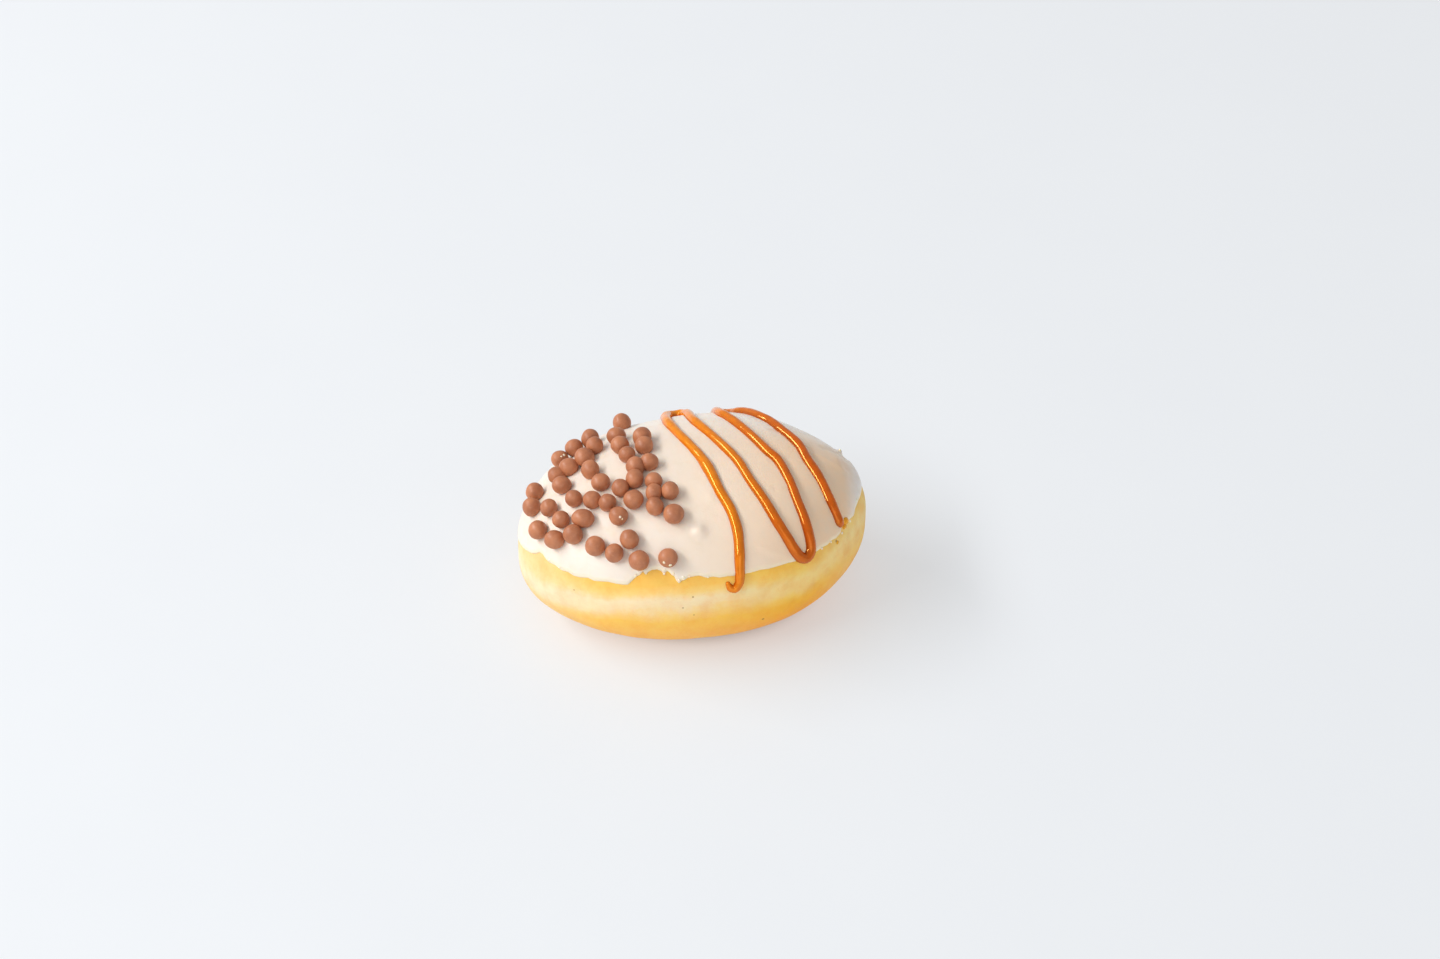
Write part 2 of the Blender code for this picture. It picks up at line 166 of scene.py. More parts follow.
# Glaze drops on the pearls and along the icing's edge: pixel, half-width, share of it in height
GLAZE_DROPS = (
    (664, 562.5, 0.34 * MM, 0.6), (670.3, 565.2, 0.42 * MM, 0.7), (620, 517, 0.3 * MM, 0.5),
    (622.3, 519, 0.24 * MM, 0.5), (564, 455, 0.36 * MM, 0.5), (561.5, 456.5, 0.22 * MM, 0.5),
    (664, 573.5, 0.4 * MM, 0.7), (673.5, 574, 0.38 * MM, 0.8), (678.7, 580.5, 0.42 * MM, 0.7),
    (683.5, 578, 0.5 * MM, 0.6), (689.5, 576.5, 0.34 * MM, 0.6), (708, 577.2, 0.4 * MM, 0.5),
    (635.5, 575.5, 0.36 * MM, 0.6), (646.5, 573.5, 0.3 * MM, 0.5), (549, 560.5, 0.34 * MM, 0.5),
    (560, 567.5, 0.3 * MM, 0.5), (572, 573, 0.32 * MM, 0.5), (850, 521, 0.4 * MM, 0.6),
    (842, 533, 0.36 * MM, 0.6), (822, 548.5, 0.34 * MM, 0.5), (831, 542, 0.3 * MM, 0.5),
    (844, 455.5, 0.4 * MM, 0.9), (840, 450, 0.3 * MM, 0.8), (857, 500, 0.34 * MM, 0.5),
)

# Pearls: how deep they sit as a share of the radius, the usual radius, points round and from
# pole to pole, and how far out of round they are
PEARL_SINK = 0.2
PEARL_RADIUS = 2.5 * MM
PEARL_SEGMENTS = 56
PEARL_RINGS = 32
PEARL_SQUASH = 0.06
PEARL_LUMPS = ((1.3, 0.07), (0.55, 0.025))
PEARL_SEED = 11
# Pearls: centre and radius in pixels
PEARL_PIXELS = (
    (621.7, 422.8, 9.7), (590.3, 438.8, 9.8), (594.5, 446.0, 9.2), (574.0, 448.0, 9.2),
    (616.5, 436.0, 9.5), (620.0, 445.0, 9.2), (642.0, 436.5, 9.3), (643.8, 445.3, 9.5),
    (559.8, 459.2, 9.1), (584.5, 457.0, 9.8), (627.0, 454.3, 8.7), (568.5, 467.0, 9.4),
    (635.5, 466.0, 9.5), (649.5, 461.8, 9.4), (590.2, 469.5, 9.4), (556.8, 475.0, 9.2),
    (634.8, 478.8, 9.7), (562.0, 485.0, 9.6), (600.5, 482.0, 9.2), (653.5, 480.8, 9.2),
    (534.6, 492.3, 9.6), (620.3, 487.8, 9.3), (654.0, 492.8, 9.1), (670.0, 490.8, 9.6),
    (573.8, 498.3, 9.2), (592.0, 499.8, 9.0), (607.7, 502.5, 9.4), (633.4, 499.5, 9.7),
    (531.8, 507.0, 9.6), (549.0, 507.8, 9.3), (654.8, 506.2, 9.5), (618.5, 515.8, 9.6),
    (673.6, 514.0, 10.2), (561.0, 519.3, 8.8), (583.0, 518.2, 10.0), (537.8, 530.0, 10.3),
    (554.2, 539.3, 9.8), (572.8, 534.5, 10.2), (595.2, 545.8, 10.2), (614.0, 553.0, 9.9),
    (629.2, 539.0, 10.4), (639.0, 560.6, 10.3), (668.0, 558.0, 10.0),
)
# One pearl is oval in the picture: its number, and its stretch across and upwards
PEARL_STRETCH = {34: (1.1, 0.92)}

# Caramel bead: half-width, height over its middle and depth under it, how far its middle lies
# outside the bun, and the height over the bun of the line that the picture shows
CARAMEL_HALF_WIDTH = 1.42 * MM
CARAMEL_TOP = 1.6 * MM
CARAMEL_BOTTOM = 0.9 * MM
CARAMEL_LIFT = 0.1 * MM
CARAMEL_SEEN_AT = 0.7 * MM
# Distance between its rings, points round each, rings of a rounded tip, and its uneven swell
CARAMEL_STEP = 0.4 * MM
CARAMEL_SIDES = 28
CARAMEL_TIP_RINGS = 6
CARAMEL_LUMPS = ((9 * MM, 0.09), (3 * MM, 0.05))
# Points of the smooth curve between two given ones
CURVE_POINTS = 24
# Caramel line in pixels, from the hook on the dough to the last drop. The third value is
# how many millimetres the point lies beyond the horizon of the cap.
CARAMEL_PIXELS = (
    (728.5, 585, 0), (731, 589, 0), (735.5, 589.5, 0), (739, 585, 0), (740.3, 579, 0),
    (740, 565, 0), (739.6, 550, 0), (737.5, 530, 0), (731, 510, 0), (719.5, 490, 0),
    (710, 471, 0), (701, 457, 0), (685.5, 440, 0), (675.5, 430, 0), (667.5, 421, 0),
    (666, 414.5, 0.4), (668, 411.5, 3.5), (674.5, 410, 4.7), (682, 411.5, 3.2), (687, 414, 2.2),
    (692, 418, 0), (700, 425, 0), (720, 442, 0), (737.5, 460, 0), (750.5, 480, 0), (764.5, 500, 0),
    (776.5, 520, 0), (789, 540, 0), (795, 550, 0), (801, 557, 0), (807, 558, 0),
    (811, 551, 0), (810.5, 540, 0), (805.3, 520, 0), (797.5, 500, 0), (789.5, 480, 0),
    (778, 460, 0), (767, 450, 0), (750, 433.5, 0), (730, 418, 0), (721, 413, 0),
    (716.5, 411, 4), (718.5, 410.5, 8.5), (726.5, 410.5, 11), (735, 410.5, 8.5), (740, 411.5, 4),
    (749, 413, 1), (760, 417.3, 1.5), (770, 421, 0), (780, 428, 0), (790, 436, 0),
    (800, 446, 0), (808, 460, 0), (821, 480, 0), (830.5, 500, 0), (839, 520, 0),
    (840.3, 522.5, 0),
)
# Caramel thickness along the line: number of the point above, share of the full size
CARAMEL_TAPER = (
    (0, 0.45), (1, 0.7), (2, 0.8), (4, 0.88), (6, 1.0), (9, 0.98), (10.5, 1.08), (12, 0.92),
    (14, 1.05), (16, 1.36), (17.5, 1.36), (18.6, 1.06), (20, 1.0), (22, 0.92), (23, 1.02),
    (26, 1.0), (28, 1.1), (31, 1.1), (34, 1.0), (38, 1.0), (40, 1.15), (42, 1.25), (45, 1.25),
    (47, 1.15), (50, 1.08), (54, 1.08), (56, 0.92),
)
# Caramel colours: at the left, at the right, and the same at its thin sides, darker there as
# painted shade
CARAMEL_COLOURS = ((245, 145, 17), (204, 81, 3), (196, 88, 4), (139, 47, 2))
THIN_CARAMEL_COLOURS = ((240, 176, 52), (236, 164, 40), (232, 158, 40), (226, 146, 28))
# Drops of thin caramel: pixel, half-width, share of it in height. They take the colour that
# the line has at this share of its height.
DROP_CROWN = 0.8
CARAMEL_DROPS = (
    (845.3, 521.0, 1.05 * MM, 0.7), (844.3, 526.5, 0.8 * MM, 0.6), (837.5, 542.5, 0.5 * MM, 0.3),
)

# Soft lamps, all aimed at the doughnut: place, width, height, power in watts and colour. The
# key is a long strip on the left, which draws a bright line along each strand of caramel.
LAMPS = {
    "key": ((-1.18, -0.1, 1.03), 2.0, 0.32, 24.0, (1.0, 0.99, 0.98)),
    "front": ((0.1, -1.3, 0.45), 1.2, 1.0, 3.4, (1.0, 1.0, 1.0)),
}
SKY_COLOUR = (0.93, 0.96, 1.0, 1.0)
SKY_STRENGTH = 0.5
FLOOR_SIZE = 4.0
# Light from the bright floor, which fades out under the bun as a painted shadow: strength, and
#  half-lengths of the oval inside which there is hardly any
FLOOR_GLOW = 0.46
FLOOR_DARK_OVAL = (24 * MM, 19 * MM)


def waves(turn, table):
    """Sum of the waves in a table, as a share of the radius."""
    return sum(size * np.cos(count * turn - radians(crest)) for count, size, crest in table)


def surface(turn, rise):
    """Point of the bun: turn is the angle round it, rise runs from -90 to 90 degrees."""
    above = rise >= 0
    power = np.where(above, CROWN_POWER, BASE_POWER)
    half_height = np.where(above, CROWN_ABOVE_WAIST, WAIST_HEIGHT)
    swell = 1 + waves(turn, RIM_WAVES) + np.clip(np.sin(rise), 0, 1) * waves(turn, CROWN_WAVES)
    reach = swell * np.abs(np.cos(rise)) ** (2 / power)
    x = HALF_LENGTH * np.cos(turn) * reach
    y = HALF_DEPTH * np.sin(turn) * reach
    z = WAIST_HEIGHT + np.sign(rise) * half_height * np.abs(np.sin(rise)) ** (2 / power)
    x, y = x * cos(PLAN_TURN) - y * sin(PLAN_TURN), x * sin(PLAN_TURN) + y * cos(PLAN_TURN)
    z = z + x * SLOPE * np.clip(z / WAIST_HEIGHT, 0, 1)
    z = np.maximum(z - FLAT_PRESS * np.exp(-((np.maximum(z, 0) / FLAT_FADE) ** 2)), 0)
    return np.stack([x + BUN_CENTRE[0], y + BUN_CENTRE[1], z], -1)


def normals(turn, rise):
    """Outward normal of the bun's surface."""
    step = 1e-3
    rise = np.clip(rise, -NEAR_POLE, NEAR_POLE)
    along = surface(turn + step, rise) - surface(turn - step, rise)
    up = surface(turn, rise + step) - surface(turn, rise - step)
    normal = np.cross(along, up)
    return normal / (np.linalg.norm(normal, axis=-1, keepdims=True) + 1e-12)


def lifted(turn, rise, lift):
    """Point at a distance outside the bun's surface, along its normal."""
    return surface(turn, rise) + normals(turn, rise) * np.asarray(lift)[..., None]


def angles_of(point):
    """Turn and rise of a point near the bun's surface."""
    x, y = point[0] - BUN_CENTRE[0], point[1] - BUN_CENTRE[1]
    above = point[2] - x * SLOPE - WAIST_HEIGHT
    x, y = x * cos(PLAN_TURN) + y * sin(PLAN_TURN), y * cos(PLAN_TURN) - x * sin(PLAN_TURN)
    reach = np.hypot(x / HALF_LENGTH, y / HALF_DEPTH)
    half_height, power = (
        (CROWN_ABOVE_WAIST, CROWN_POWER) if above > 0 else (WAIST_HEIGHT, BASE_POWER)
    )
    rise = np.arctan2((abs(above) / half_height) ** (power / 2), reach ** (power / 2))
    return np.arctan2(y / HALF_DEPTH, x / HALF_LENGTH), np.copysign(rise, above)


def lifted_tree(lift):
    """Search tree of the bun's surface, raised by a distance."""
    turns, rises = 240, 160
    turn = np.linspace(0, 2 * pi, turns, endpoint=False)
    rise = np.linspace(radians(-80), radians(89.9), rises)
    points = lifted(*np.meshgrid(turn, rise, indexing="ij"), np.full((turns, rises), lift))
    index = np.arange(turns * rises).reshape(turns, rises)
    beside = np.roll(index, -1, axis=0)
    faces = np.stack([index[:, :-1], beside[:, :-1], beside[:, 1:], index[:, 1:]], -1)
    return BVHTree.FromPolygons(points.reshape(-1, 3).tolist(), faces.reshape(-1, 4).tolist())


def sight_line(pixel):
    """Direction from the eye through a pixel."""
    across = (pixel[0] - PICTURE_CENTRE[0]) / FOCAL_PIXELS
    up = (PICTURE_CENTRE[1] - pixel[1]) / FOCAL_PIXELS
    ahead = Vector((0, cos(PITCH), -sin(PITCH)))
    return (Vector((1, 0, 0)) * across + PICTURE_UP * up + ahead).normalized()


def place(pixel, tree, beyond=0.0):
    """Point and normal where the sight line of a pixel meets the surface in a tree. A sight
    line that passes over the horizon takes the nearest point of it."""
    sight = sight_line(pixel)
    point, normal, _, _ = tree.ray_cast(EYE, sight)
    if point is None:
        middle = (Vector((0, 0, WAIST_HEIGHT)) - EYE).dot(sight)
        offsets = range(-HORIZON_SEARCH, HORIZON_SEARCH + 1)
        tries = [EYE + sight * (middle + offset * MM) for offset in offsets]
        hits = [tree.find_nearest(spot) for spot in tries]
        point, normal, _, _ = min(hits, key=lambda hit: hit[3])
    if beyond:
        point, normal, _, _ = tree.find_nearest(point + Vector((0, beyond, 0)))
    return point, normal


ON_BUN = lifted_tree(0.0)


def icing_edge():
    """Turns and rises of the icing's edge, all the way round, sorted by turn."""
    edge = [angles_of(place(pixel, ON_BUN)[0]) for pixel in EDGE_PIXELS]
    rises = np.linspace(0, radians(60), 241)
    for bearing, height in EDGE_BEHIND:
        turn = radians(bearing)
        heights = surface(np.full_like(rises, turn), rises)[:, 2]
        edge.append((turn, np.interp(height, heights, rises)))
    edge.sort()
    return np.array(edge)


EDGE = icing_edge()


def edge_rise(turn):
    """Rise of the icing's edge at a turn."""
    return np.interp(turn, EDGE[:, 0], EDGE[:, 1], period=2 * pi)


def lumps(points, layers, seed):
    """Smooth noise at each point: the sum of layers of a lump's width and height. Each seed
    and layer reads another part of the noise."""
    flat = points.reshape(-1, 3)
    total = np.zeros(len(flat))
    for number, (width, height) in enumerate(layers):
        shift = Vector((seed * 7.3 + number * 3.1, seed * 2.9, number * 5.7))
        total += [height * noise.noise(Vector(spot) + shift) for spot in flat / width]
    return total.reshape(points.shape[:-1])


def smooth_object(name, points, faces):
    """A smooth-shaded object in the scene, made of points and faces."""
    mesh = bpy.data.meshes.new(name)
    mesh.from_pydata(points.tolist(), [], faces)
    mesh.shade_smooth()
    made = bpy.data.objects.new(name, mesh)
    bpy.context.scene.collection.objects.link(made)
    return made


def round_body(name, points):
    """A closed body from a grid of points that goes round on its first axis, and whose first
    and last rows are one point each."""
    around, rows = points.shape[:2]
    spots = [points[0, 0], *points[:, 1:-1].reshape(-1, 3), points[0, -1]]
    index = 1 + np.arange(around * (rows - 2)).reshape(around, rows - 2)
    beside = np.roll(index, -1, axis=0)
    quads = np.stack([index[:, :-1], beside[:, :-1], beside[:, 1:], index[:, 1:]], -1)
    pole = len(spots) - 1
    first = [(0, b, a) for a, b in zip(index[:, 0].tolist(), beside[:, 0].tolist())]
    last = [(pole, a, b) for a, b in zip(index[:, -1].tolist(), beside[:, -1].tolist())]
    return smooth_object(name, np.array(spots), quads.reshape(-1, 4).tolist() + first + last)


def write_values(made, name, values):
    """Stores a value for each point of an object, for its material to read."""
    layer = made.data.attributes.new(name, "FLOAT", "POINT")
    layer.data.foreach_set("value", np.asarray(values, np.float32))


def write_grid(made, name, grid):
    """Stores a value for each point of a round body, out of a grid like that of its points."""
    write_values(made, name, [grid[0, 0], *grid[:, 1:-1].ravel(), grid[0, -1]])


def smooth_step(value):
    """Goes from 0 to 1 with level ends, while the value goes from 0 to 1."""
    value = np.clip(value, 0, 1)
    return value * value * (3 - 2 * value)


class Shader:
    """A material's nodes, made and joined by short calls."""

    def __init__(self, name):
        self.material = bpy.data.materials.new(name)
        self.material.use_nodes = True
        self.tree = self.material.node_tree
        self.principled = self.tree.nodes["Principled BSDF"]

    def settle(self, socket, value):
        """Joins another node's output to a socket, or writes a constant in it."""
        if isinstance(value, bpy.types.NodeSocket):
            self.tree.links.new(value, socket)
        else:
            socket.default_value = value

    def node(self, kind, settings=(), **inputs):
        made = self.tree.nodes.new(kind)
        for name, value in dict(settings).items():
            setattr(made, name, value)
        for name, value in inputs.items():
            self.settle(made.inputs[name.replace("_", " ")], value)
        return made

    def look(self, **inputs):
        for name, value in inputs.items():
            self.settle(self.principled.inputs[name.replace("_", " ")], value)

    def place(self):
        return self.node("ShaderNodeTexCoord").outputs["Object"]

    def place_along(self, axis):
        return self.node("ShaderNodeSeparateXYZ", Vector=self.place()).outputs[axis]

    def value_of(self, name):
        return self.node("ShaderNodeAttribute", {"attribute_name": name}).outputs["Fac"]

    def noise(self, size, detail=3.0, rough=0.5, vector=None):
        made = self.node("ShaderNodeTexNoise", Scale=1 / size, Detail=detail, Roughness=rough)
        self.tree.links.new(vector or self.place(), made.inputs["Vector"])
        return made.outputs["Fac"]

    def maths(self, what, first, second=0.0, third=0.0):
        made = self.node("ShaderNodeMath", {"operation": what})
        for socket, value in zip(made.inputs, (first, second, third)):
            self.settle(socket, value)
        return made.outputs[0]

    def vector_maths(self, what, constant):
        """Works on the place of a point and a constant vector."""
        made = self.node("ShaderNodeVectorMath", {"operation": what})
        self.settle(made.inputs[0], self.place())
        self.settle(made.inputs[1], constant)
        return made

    def spread(self, value, low, high, to_low=0.0, to_high=1.0):
        """Goes smoothly from to_low to to_high, while the value goes from low to high."""
        made = self.node("ShaderNodeMapRange", {"interpolation_type": "SMOOTHSTEP"})
        made.inputs["From Min"].default_value = low
        made.inputs["From Max"].default_value = high
        made.inputs["To Min"].default_value = to_low
        made.inputs["To Max"].default_value = to_high
        self.settle(made.inputs["Value"], value)
        return made.outputs["Result"]

    def uneven(self, size, low, high):
        """A value that wanders between low and high from place to place."""
        return self.spread(self.noise(size), 0.3, 0.7, low, high)

    def mix(self, share, first, second, how="MIX"):
        """Mix of two colours. The mix node's sockets for them share their names with others,
        so they are taken by number."""
        made = self.node("ShaderNodeMix", {"data_type": "RGBA", "blend_type": how})
        self.settle(made.inputs["Factor"], share)
        self.settle(made.inputs[6], first)
        self.settle(made.inputs[7], second)
        return made.outputs[2]

    def ramp(self, value, stops):
        """Colour of a value between 0 and 1, out of stops of a value and its colour."""
        made = self.node("ShaderNodeValToRGB", Fac=value)
        band = made.color_ramp
        stops = list(stops)
        while len(band.elements) < len(stops):
            band.elements.new(0.5)
        for element, (at, colour) in zip(band.elements, stops):
            element.position = at
            element.color = colour
        return made.outputs["Color"]

    def bump(self, height, distance, strength):
        made = self.node("ShaderNodeBump", Height=height, Distance=distance, Strength=strength)
        return made.outputs["Normal"]


def rgb(red, green, blue):
    """A colour as painted on a screen, from 0 to 255, in the linear values shaders use."""
    shares = np.array([red, green, blue]) / 255
    linear = np.where(shares > 0.04045, ((shares + 0.055) / 1.055) ** 2.4, shares / 12.92)
    return (*linear.tolist(), 1.0)


def dough_material():
    """Fried skin in bands of colour, paler at both ends as painted light, with patches, specks and
    pinholes.
    """
    shade = Shader("fried_dough")
    to_right = shade.place_along("X")
    colour = banded_dough(shade, to_right)
    # Painted light: the left end is paler where the key lamp falls, and the right end is paler in
    # place of a lamp there
    painted_light_left = shade.spread(to_right, -20 * MM, -46 * MM, 0.0, 0.5)
    colour = shade.mix(painted_light_left, colour, rgb(240, 222, 190))
    painted_light_right = shade.spread(to_right, 28 * MM, 42 * MM, 0.0, 0.3)
    colour = shade.mix(painted_light_right, colour, rgb(255, 226, 168))
    patches = shade.spread(shade.noise(4.5 * MM, 4, 0.6), 0.35, 0.75, 0.0, 0.28)
    colour = shade.mix(patches, colour, rgb(250, 190, 112), "MULTIPLY")
    more_at_right = shade.spread(to_right, 5 * MM, 30 * MM, 0.08, 0.33)
    blotches = shade.spread(shade.noise(6 * MM, 3, 0.5), 0.42, 0.7)
    blotches = shade.maths("MULTIPLY", blotches, more_at_right)
    colour = shade.mix(blotches, colour, rgb(230, 156, 56))
    speckle = shade.spread(shade.noise(0.5 * MM, 2), 0.62, 0.8, 0.0, 0.2)
    colour = shade.mix(speckle, colour, rgb(216, 150, 76))
    colour = with_pinholes(shade, colour)
    shade.look(Base_Color=colour, Roughness=shade.uneven(2 * MM, 0.5, 0.66))
    shade.look(Subsurface_Weight=0.22, Subsurface_Scale=1.4 * MM, Specular_IOR_Level=0.25)
    shade.look(Subsurface_Radius=(1.0, 0.55, 0.25))
    relief = shade.maths("ADD", shade.noise(0.9 * MM, 4, 0.6), shade.noise(3.5 * MM, 2))
    shade.look(Normal=shade.bump(relief, 0.10 * MM, 0.8))
    return shade.material


def banded_dough(shade, to_right):
    """Colour by height: browned below, pale at the waist and golden under the icing. The
    bands waver a little, and their tones differ from left to right."""
    drift = shade.spread(shade.noise(9 * MM, 4), 0.25, 0.75, -1.4, 1.4)
    fine = shade.spread(shade.noise(1.6 * MM, 3), 0.25, 0.75, -0.5, 0.5)
    height = shade.maths("ADD", shade.value_of("over_brown_line"), shade.maths("ADD", drift, fine))
    share = shade.maths("DIVIDE", shade.maths("SUBTRACT", height, LOWEST_BAND), BAND_SPAN)
    stops = [(at - LOWEST_BAND) / BAND_SPAN for at, _, _ in DOUGH_BANDS]
    left_tones = shade.ramp(share, zip(stops, [rgb(*tone) for _, tone, _ in DOUGH_BANDS]))
    right_tones = shade.ramp(share, zip(stops, [rgb(*tone) for _, _, tone in DOUGH_BANDS]))
    return shade.mix(shade.spread(to_right, -4 * MM, 32 * MM), left_tones, right_tones)


def with_pinholes(shade, colour):
    """The colour, darkened at each pinhole as painted shade in the hole."""
    for across, down, radius in PINHOLES:
        away = shade.vector_maths("DISTANCE", place((across, down), ON_BUN)[0]).outputs["Value"]
        # Painted shade: the skin has no dent here, only this dark spot
        inside = shade.spread(away, radius, radius * 0.3, 0.0, 0.75)
        colour = shade.mix(inside, colour, rgb(150, 96, 44))
    return colour


def icing_material():
    """Satin sugar icing, off-white and a little translucent, thin and creamy at its edge. Its back
    and right rim are whiter as painted light, and it warms towards the right, partly as painted
    shade.
    """
    shade = Shader("sugar_icing")
    to_right, to_back = shade.place_along("X"), shade.place_along("Y")
    # Warmer towards the right: partly the icing's own beige, partly painted shade on the side away
    # from the key lamp
    right = shade.spread(to_right, -20 * MM, 45 * MM)
    colour = shade.mix(right, rgb(239, 227, 213), rgb(253, 213, 174))
    # Painted light: the back of the cap, which faces up to the lamps, is whiter
    painted_light_back = shade.spread(to_back, 4 * MM, 20 * MM, 0.0, 0.8)
    colour = shade.mix(painted_light_back, colour, rgb(249, 241, 232))
    # Painted light: the rim at the right end, which faces the sky, is near white
    right_painted_rim = shade.spread(to_right, 39 * MM, 44 * MM, 0.0, 0.9)
    colour = shade.mix(right_painted_rim, colour, rgb(255, 249, 247))
    broad = shade.spread(shade.noise(12 * MM, 3), 0.35, 0.65, 0.0, 0.3)
    colour = shade.mix(broad, colour, rgb(242, 222, 198))
    streaks = shade.spread(shade.noise(3 * MM, 5, 0.6), 0.45, 0.75, 0.0, 0.35)
    colour = shade.mix(streaks, colour, rgb(236, 214, 188))
    at_edge = shade.spread(shade.value_of("from_edge"), 1.6, 0.2, 0.0, 0.7)
    colour = shade.mix(at_edge, colour, rgb(252, 232, 196))
    shade.look(Base_Color=colour, Roughness=shade.uneven(4 * MM, 0.3, 0.44))
    shade.look(Subsurface_Weight=0.3, Subsurface_Scale=1.6 * MM, Specular_IOR_Level=0.5)
    shade.look(Subsurface_Radius=(1.0, 0.75, 0.55))
    relief = shade.maths("ADD", shade.noise(2.2 * MM, 3, 0.5), shade.noise(0.4 * MM, 2))
    shade.look(Normal=shade.bump(relief, 0.05 * MM, 0.6))
    return shade.material


def glaze_material():
    """Clear wet glaze in small drops."""
    shade = Shader("glaze")
    colour = shade.mix(shade.noise(0.6 * MM, 3), rgb(255, 240, 218), rgb(252, 226, 190))
    shade.look(Base_Color=colour, Roughness=shade.uneven(0.5 * MM, 0.08, 0.16))
    shade.look(Subsurface_Weight=0.3, Subsurface_Scale=0.4 * MM, Specular_IOR_Level=0.8)
    return shade.material


def chocolate_material():
    """Milk-chocolate shell with a satin bloom."""
    shade = Shader("chocolate")
    broad = shade.spread(shade.noise(3.5 * MM, 3), 0.3, 0.7)
    colour = shade.mix(broad, rgb(195, 125, 85), rgb(171, 105, 70))
    bloom = shade.spread(shade.noise(0.7 * MM, 4, 0.6), 0.5, 0.8, 0.0, 0.3)
    colour = shade.mix(bloom, colour, rgb(212, 150, 106))
    shade.look(Base_Color=colour, Roughness=shade.uneven(1.5 * MM, 0.38, 0.52))
    shade.look(Specular_IOR_Level=0.5)
    relief = shade.noise(0.8 * MM, 3, 0.6)
    shade.look(Normal=shade.bump(relief, 0.05 * MM, 0.6))
    return shade.material


def caramel_material(name, left, right, left_painted_rim, right_painted_rim):
    """Glossy caramel, darker towards the right, and darker towards its sides as painted shade. Its
    gloss takes on its colour, as light that enters a clear syrup does."""
    shade = Shader(name)
    share = shade.spread(shade.place_along("X"), -8 * MM, 32 * MM)
    body = shade.mix(share, rgb(*left), rgb(*right))
    rim = shade.mix(share, rgb(*left_painted_rim), rgb(*right_painted_rim))
    # Painted shade: the bead's thin sides take the darker colours
    colour = shade.mix(shade.spread(shade.value_of("crown"), 0.2, 0.85), rim, body)
    streaks = shade.spread(shade.noise(1.8 * MM, 3), 0.35, 0.7, 0.0, 0.6)
    colour = shade.mix(streaks, colour, shade.mix(0.5, rim, body))
    shade.look(Base_Color=colour, Roughness=shade.uneven(2.5 * MM, 0.07, 0.12))
    shade.look(Subsurface_Weight=0.2, Subsurface_Scale=0.8 * MM)
    shade.look(Subsurface_Radius=(1.0, 0.4, 0.08))
    shade.look(IOR=1.8, Specular_IOR_Level=1.0, Specular_Tint=rgb(255, 190, 98))
    shade.look(Normal=shade.bump(shade.noise(2.0 * MM, 2), 0.08 * MM, 0.5))
    return shade.material


def floor_material():
    """Plain pale floor with a barely visible mottle. It glows as painted light, except in an oval
    under the bun, which is a painted shadow.
    """
    shade = Shader("floor")
    colour = shade.mix(shade.noise(60 * MM, 4), rgb(167, 171, 175), rgb(163, 167, 172))
    shade.look(Base_Color=colour, Roughness=shade.uneven(20 * MM, 0.5, 0.6))
    shade.look(Specular_IOR_Level=0.3, Emission_Color=rgb(255, 255, 255))
    # Distance from the middle as a share of the oval's half-lengths: 1 on the oval itself
    in_ovals = shade.vector_maths("DIVIDE", (*FLOOR_DARK_OVAL, 1.0)).outputs["Vector"]
    away = shade.node("ShaderNodeVectorMath", {"operation": "LENGTH"})
    shade.settle(away.inputs[0], in_ovals)
    shade.look(Emission_Strength=shade.spread(away.outputs["Value"], 0.9, 1.5, 0.0, FLOOR_GLOW))
    return shade.material


def finish_piece(made, material, node):
    """Gives a piece its material and body, and hides the part of the frame that it stands for."""
    made.data.materials.append(material)
    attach(made, "root")
    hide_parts(node)


def dough_piece():
    """The bun's skin, tucked in under the icing."""
    turn = np.linspace(-pi, pi, DOUGH_AROUND, endpoint=False)[:, None]
    edge = edge_rise(turn)
    low = np.linspace(0, 1, DOUGH_ROWS)[None]
    bare = radians(-90) + (edge - radians(-90)) * low
    tuck = np.array(DOUGH_TUCK_ROWS) * DOUGH_TUCK / CROWN_ABOVE_WAIST
    # The hidden rows lie closer together near the icing's edge
    under = np.linspace(0.1, 1, DOUGH_HIDDEN_ROWS)[None] ** 1.3
    start = edge + tuck[-1]
    rise = np.hstack([bare, edge + tuck[None], start + (radians(90) - start) * under])
    turn = np.broadcast_to(turn, rise.shape)
    inward = (rise - edge) * CROWN_ABOVE_WAIST / DOUGH_TUCK
    lift = -DOUGH_UNDER_ICING * smooth_step(inward)
    points = surface(turn, rise)
    # Lumps fade out just below the icing's edge, and towards the floor
    bare_share = 1 - smooth_step(inward + 0.4)
    above_floor = smooth_step(points[..., 2] / DOUGH_LUMPS_FADE)
    lift = lift + lumps(points, DOUGH_LUMPS, 1) * bare_share * above_floor
    made = round_body("dough_skin", lifted(turn, rise, lift))
    line = np.interp(np.degrees(turn), *zip(*BROWN_LINE), period=360)
    write_grid(made, "over_brown_line", np.degrees(rise) - line)
    finish_piece(made, dough_material(), "dough")
    return made


def segment_distance(points, start, end):
    """Distance of each point from the straight line between two ends."""
    along = end - start
    share = np.clip((points - start) @ along / (along @ along), 0, 1)
    return np.linalg.norm(points - start - share[..., None] * along, axis=-1)


def icing_relief(points):
    """Height of the icing's lumps and creases at each point."""
    total = lumps(points, ICING_LUMPS, 2)
    for across, down, radius, height in ICING_BUMPS:
        away = np.linalg.norm(points - np.array(place((across, down), ON_BUN)[0]), axis=-1)
        total += height * np.exp(-((away / radius) ** 2))
    for x0, y0, x1, y1, width, height in ICING_CREASES:
        ends = [np.array(place(pixel, ON_BUN)[0]) for pixel in ((x0, y0), (x1, y1))]
        total += height * np.exp(-((segment_distance(points, *ends) / width) ** 2))
    return total


